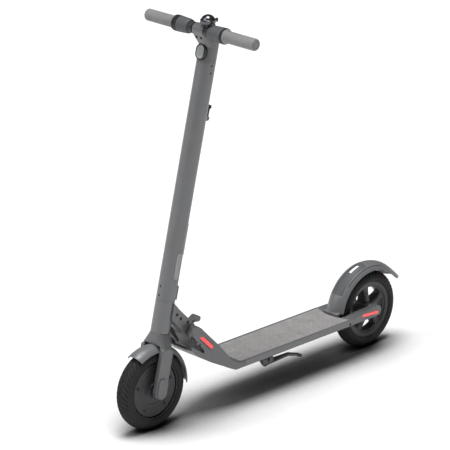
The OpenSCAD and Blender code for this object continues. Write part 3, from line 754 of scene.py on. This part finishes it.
# ---------------------------------------------------------------- lamp and display

def lamp():
    m = frame_at(on_steer(LAMP_H, LAMP_F), S_FWD, S_UP)
    b = Build()
    rings = []
    for inset, f in ((0, 0), (0, 0.0105), (0.0005, 0.0132), (0.0012, 0.0146), (0.0018, 0.0148),
                     (0.0023, 0.0138),
                     (0.0025, 0.0118)):
        outline = stadium(0.044 - 2 * inset, 0.034 - 2 * inset, 0.0168 - inset, 12)
        rings.append([(x, y, f) for x, y in outline])
    b.loft(rings, m)
    b.done("lamp_bezel", "steering", "black_plastic", replaced=("headlight_bezel",), sharp=60.0)
    d = Build()
    rings = []
    for k in range(7):
        a = math.radians(90 * k / 6)
        inset = 0.0027 + 0.0080 * (1 - math.cos(a))
        rings.append([(x, y, 0.0118 + 0.0040 * math.sin(a)) for x, y in
                      stadium(0.044 - 2 * inset, 0.034 - 2 * inset, max(0.0168 - inset, 0.002), 12)])
    d.loft([[(x, y, 0.004) for x, y, _ in rings[0]]] + rings, m)
    d.done("lamp_glass", "steering", "lamp_lens", replaced=("headlight_lens",), sharp=60.0)


def display():
    m = frame_at(on_steer(DISPLAY_H, DISPLAY_F), S_UP, S_FWD)
    b = Build()
    pill(b, m, 0.030, 0.030, 0.008, 0, 0.0074, 0.0014)
    b.done("display_window", "steering", "display_glass", replaced=("display",))
    d = Build()
    for k in range(4):
        at = m @ Matrix.Translation((0.0098, -0.0075 + 0.005 * k, 0.0073))
        pill(d, at, 0.0012, 0.0034, 0.0005, 0, 0.0004, 0.0002, 3)
    for digit in (-0.0045, 0.0045):
        for x, y, long in ((0, 0, 0), (0.0035, 0, 0), (-0.0035, 0, 0), (0.00175, 0.0018, 1),
                           (0.00175, -0.0018, 1),
                           (-0.00175, 0.0018, 1), (-0.00175, -0.0018, 1)):
            size = (0.0029, 0.0006) if long else (0.0006, 0.0030)
            at = m @ Matrix.Translation((0.0040 + x, digit + y, 0.0073))
            pill(d, at, size[0], size[1], 0.00028, 0, 0.0003, 0.0001, 3)
    d.done("display_marks", "steering", "silver_cover")


lamp()
display()


# ---------------------------------------------------------------- reflectors' frames and screws

def reflector_frames():
    b = Build()
    for side in (1, -1):
        base = (Matrix.Translation((0.282, 0.052, 0.226)) @ Matrix.Rotation(math.radians(-47.5), 4, "Y")
                @ Matrix.Rotation(math.radians(-9), 4, "Z") @ Matrix.Rotation(math.radians(90), 4, "X")
                @ Matrix.Translation((0, 0, -0.0045)))
        if side < 0:
            base = Matrix.Scale(-1, 4, (0, 1, 0)) @ base
        rings = []
        for grow, z in ((0.0001, 0.0018), (0.0001, 0.0004), (0.0004, 0.0000), (0.0012, 0.0000),
                        (0.0017, 0.0006), (0.0019, 0.0018)):
            outline = stadium(0.075 + 2 * grow, 0.0105 + 2 * grow, 0.0052 + grow, 10)
            rings.append([(x, y, z) for x, y in outline])
        b.loft(rings, base, closed=True)
    b.done("reflector_frames", "deck", "panel_plastic", sharp=60.0)


def screws():
    b = Build()
    for f, h in ARM_BOLTS:
        for side in (1, -1):
            at = on_steer(h, f, side * 25.2)
            bolt(b, frame_at(at, (0, side, 0), S_UP), 0.0040, 0.0034)
    b.done("arm_screws", "fold_head", "black_steel", replaced=("arm_bolts",))
    d = Build()
    for h in SIDE_SCREWS_H:
        bolt(d, frame_at(on_steer(h, 0, 23.0), (0, 1, 0), S_UP), 0.0026, 0.0012)
    for h in FRONT_SCREWS_H:
        bolt(d, frame_at(on_steer(h, 27.0, 0), S_FWD, S_UP), 0.0026, 0.0012)
    for y in (-9, 9):
        bolt(d, frame_at(on_steer(CLAMP_BOLTS_H, 40.5, y), S_FWD, S_UP), 0.0032, 0.0040)
    d.done("stem_bolts", "steering", "black_steel", replaced=("stem_screws",))
    e = Build()
    low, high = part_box("deck_screws")
    for x in (low.x + 0.004, (low.x + high.x) / 2, high.x - 0.004):
        for y in (-0.032, 0.032):
            bolt(e, frame_at((x, y, 0.100), (0, 0, -1), (1, 0, 0)), 0.0040, 0.0014)
    e.done("belly_screws", "deck", "black_steel", replaced=("deck_screws",))


def fender_liner():
    """Dark strips on the inner sides of the rear fender, which show through its open flank: painted shade for the
    fender's shadowed inside.
    """
    b = Build()
    for side in (1, -1):
        rings = []
        for k in range(40):
            a = math.radians(46 + 63 * k / 39)
            ring = []
            for r, y in ((0.1225, 0.0285), (0.1225, 0.0295), (0.1330, 0.0240), (0.1325, 0.0230)):
                ring.append((REAR.x + r * math.cos(a), side * y, REAR.z + r * math.sin(a)))
            rings.append(ring)
        b.loft(rings)
    return b.done("fender_liner", "foot_brake", "pad_rubber", sharp=60.0)


def neck_inserts():
    """Black plates in the recess in front of each cheek of the neck: painted shade, a dark sheet where the recess
    lies in shadow.
    """
    b = Build()
    outline = [(0.2845, 0.1892), (0.2845, 0.1962), (0.3058, 0.2228), (0.3145, 0.2346), (0.3235, 0.2470),
               (0.3262, 0.2360), (0.3268, 0.2188), (0.3215, 0.2178)]
    for side in (1, -1):
        b.loft([[(x, side * y, z) for x, z in outline] for y in (0.0471, 0.0488)])
    return b.done("neck_inserts", "deck", "black_plastic", sharp=30.0)


fender_liner()
neck_inserts()
reflector_frames()
screws()


# ---------------------------------------------------------------- floor and light

def stage():
    mesh = bpy.data.meshes.new("floor")
    mesh.from_pydata([(-14, -14, 0), (14, -14, 0), (14, 14, 0), (-14, 14, 0)], [], [[0, 1, 2, 3]])
    floor = bpy.data.objects.new("floor", mesh)
    bpy.context.scene.collection.objects.link(floor)
    n = Nodes("floor")
    paper = n.ramp(n.noise(3.0), (0.90, 0.90, 0.90), (0.93, 0.93, 0.93))
    # Painted shadow: the floor's colour darkens towards near black where ambient occlusion within 0.3 m finds the
    # scooter above it.
    shade = n.tree.nodes.new("ShaderNodeAmbientOcclusion")
    shade.samples = 16
    shade.inputs["Distance"].default_value = 0.30
    base = n.mix(n.remap(shade.outputs["AO"], 0.0, 1.0, 0.42, 0.86), (0.02, 0.02, 0.02), paper)
    mesh.materials.append(n.put(base, n.remap(n.noise(5.0), 0.85, 0.95), Specular_IOR_Level=0.1))


def sun(name, direction, strength, angle):
    """A broad soft light from the given direction, the same all over the floor."""
    data = bpy.data.lights.new(name, "SUN")
    data.energy = strength
    data.angle = math.radians(angle)
    obj = bpy.data.objects.new(name, data)
    obj.location = Vector(direction) * 4
    obj.rotation_euler = (-Vector(direction)).to_track_quat("-Z", "Y").to_euler()
    bpy.context.scene.collection.objects.link(obj)


stage()
sun("top", (0.05, 0.0, 1.0), 3.0, 32)
sun("front_key", (0.85, -0.35, 0.70), 1.05, 42)
sun("side_fill", (0.15, 0.9, 0.5), 0.07, 70)

world = bpy.data.worlds.new("studio")
bpy.context.scene.world = world
world.use_nodes = True
world.node_tree.nodes["Background"].inputs["Color"].default_value = (1.0, 1.0, 1.0, 1.0)
world.node_tree.nodes["Background"].inputs["Strength"].default_value = 0.09
bpy.context.scene.view_settings.view_transform = "Standard"
